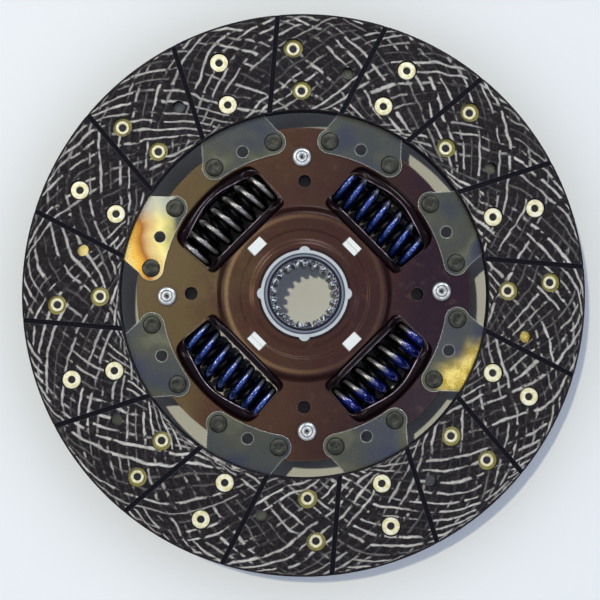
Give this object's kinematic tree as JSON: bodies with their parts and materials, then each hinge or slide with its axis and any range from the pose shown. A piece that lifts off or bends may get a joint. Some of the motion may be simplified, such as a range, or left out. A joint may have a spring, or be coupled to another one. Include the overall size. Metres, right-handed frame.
{
  "type": "clutch disc",
  "caption": "Clutch friction disc with grooved facings on wavy cushion plates, a coil-spring torsion damper and a splined hub.",
  "frame": {"origin": "on the disc's axis, in the plane of the hub's rear end, on which the disc rests", "axes": "+Z along the disc's axis, from the gearbox side to the flywheel side; +X through one stop pin"},
  "size_m": [0.26, 0.26, 0.033],
  "materials": {
    "friction_facing": "woven organic friction facing, dry and matt",
    "rivet_steel": "dark phosphated steel",
    "cushion_steel": "thin spring steel, yellow zinc plated",
    "bronzed_plate": "brown bronzed pressed steel, semi-gloss",
    "spring_blue": "blue paint over spring steel",
    "spring_black": "black oiled spring steel",
    "bright_steel": "bright turned and riveted steel",
    "hub_steel": "machined steel, lightly oiled",
    "white_plastic": "white moulded plastic",
    "washer_steel": "pressed spring steel"
  },
  "bodies": {
    "disc": {"front_facing": "friction_facing", "rear_facing": "friction_facing", "cushion_plate_1": "cushion_steel", "cushion_plate_2": "cushion_steel", "cushion_plate_3": "cushion_steel", "cushion_plate_4": "cushion_steel", "cushion_plate_5": "cushion_steel", "cushion_plate_6": "cushion_steel", "cushion_plate_7": "cushion_steel", "cushion_plate_8": "cushion_steel", "cushion_plate_rivets": "rivet_steel", "drive_plate": "bronzed_plate", "retaining_plate": "bronzed_plate", "damper_spring_1": "spring_blue", "damper_spring_2": "spring_black", "damper_spring_3": "spring_blue", "damper_spring_4": "spring_black", "stop_pins": "bright_steel", "front_hub_bush": "white_plastic", "rear_hub_bush": "white_plastic", "front_friction_washer": "white_plastic", "rear_friction_washer": "white_plastic", "thrust_plate": "washer_steel", "cone_spring": "washer_steel"},
    "hub": {"hub": "hub_steel"}
  },
  "joints": [
    {"name": "hub_twist", "type": "hinge", "parent": "disc", "child": "hub", "pos_m": [0, 0, 0.019], "axis": [0, 0, 1], "range_deg": [-6.7, 9], "stiffness_Nm_per_rad": 1100, "deforming": ["damper_spring_1", "damper_spring_2", "damper_spring_3", "damper_spring_4"]}
  ]
}
